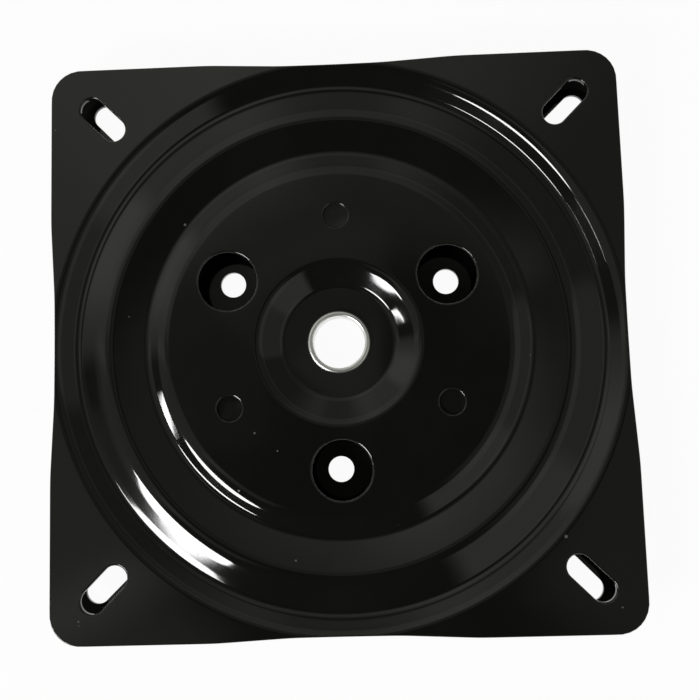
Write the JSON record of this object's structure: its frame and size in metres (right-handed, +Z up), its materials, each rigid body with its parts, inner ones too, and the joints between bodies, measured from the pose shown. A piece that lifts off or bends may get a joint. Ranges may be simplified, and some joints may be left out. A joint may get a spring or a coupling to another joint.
{
  "type": "swivel seat base",
  "caption": "Square swivel seat base: pressed black steel plates that turn on a caged ball ring about a hollow centre rivet, with slotted corners for bolts.",
  "frame": {"origin": "on the turning axis, at the face that lies on the pedestal", "axes": "+Z up the turning axis towards the seat, +X and +Y square to the lower plate's sides"},
  "size_m": [0.203, 0.203, 0.0152],
  "materials": {
    "black_paint": "gloss",
    "plated_steel": "satin",
    "ball_steel": "polished",
    "cage_nylon": "satin",
    "white_nylon": "satin"
  },
  "bodies": {
    "base_side": {"bottom_plate": "black_paint", "centre_rivet": "plated_steel", "thrust_washer": "white_nylon"},
    "seat_side": {"top_plate": "black_paint"},
    "ball_race": {"ball_cage": "cage_nylon", "ball_01": "ball_steel", "ball_02": "ball_steel", "ball_03": "ball_steel", "ball_04": "ball_steel", "ball_05": "ball_steel", "ball_06": "ball_steel", "ball_07": "ball_steel", "ball_08": "ball_steel", "ball_09": "ball_steel", "ball_10": "ball_steel", "ball_11": "ball_steel", "ball_12": "ball_steel", "ball_13": "ball_steel", "ball_14": "ball_steel", "ball_15": "ball_steel", "ball_16": "ball_steel", "ball_17": "ball_steel", "ball_18": "ball_steel", "ball_19": "ball_steel", "ball_20": "ball_steel", "ball_21": "ball_steel", "ball_22": "ball_steel", "ball_23": "ball_steel", "ball_24": "ball_steel"}
  },
  "joints": [
    {"name": "seat_swivel", "type": "hinge", "parent": "base_side", "child": "seat_side", "pos_m": [0, 0, 0], "axis": [0, 0, 1], "continuous": true},
    {"name": "cage_orbit", "type": "hinge", "parent": "base_side", "child": "ball_race", "pos_m": [0, 0, 0], "axis": [0, 0, 1], "continuous": true}
  ],
  "couplings": [
    {"joint": "cage_orbit", "follows": "seat_swivel", "ratio": 0.5}
  ]
}
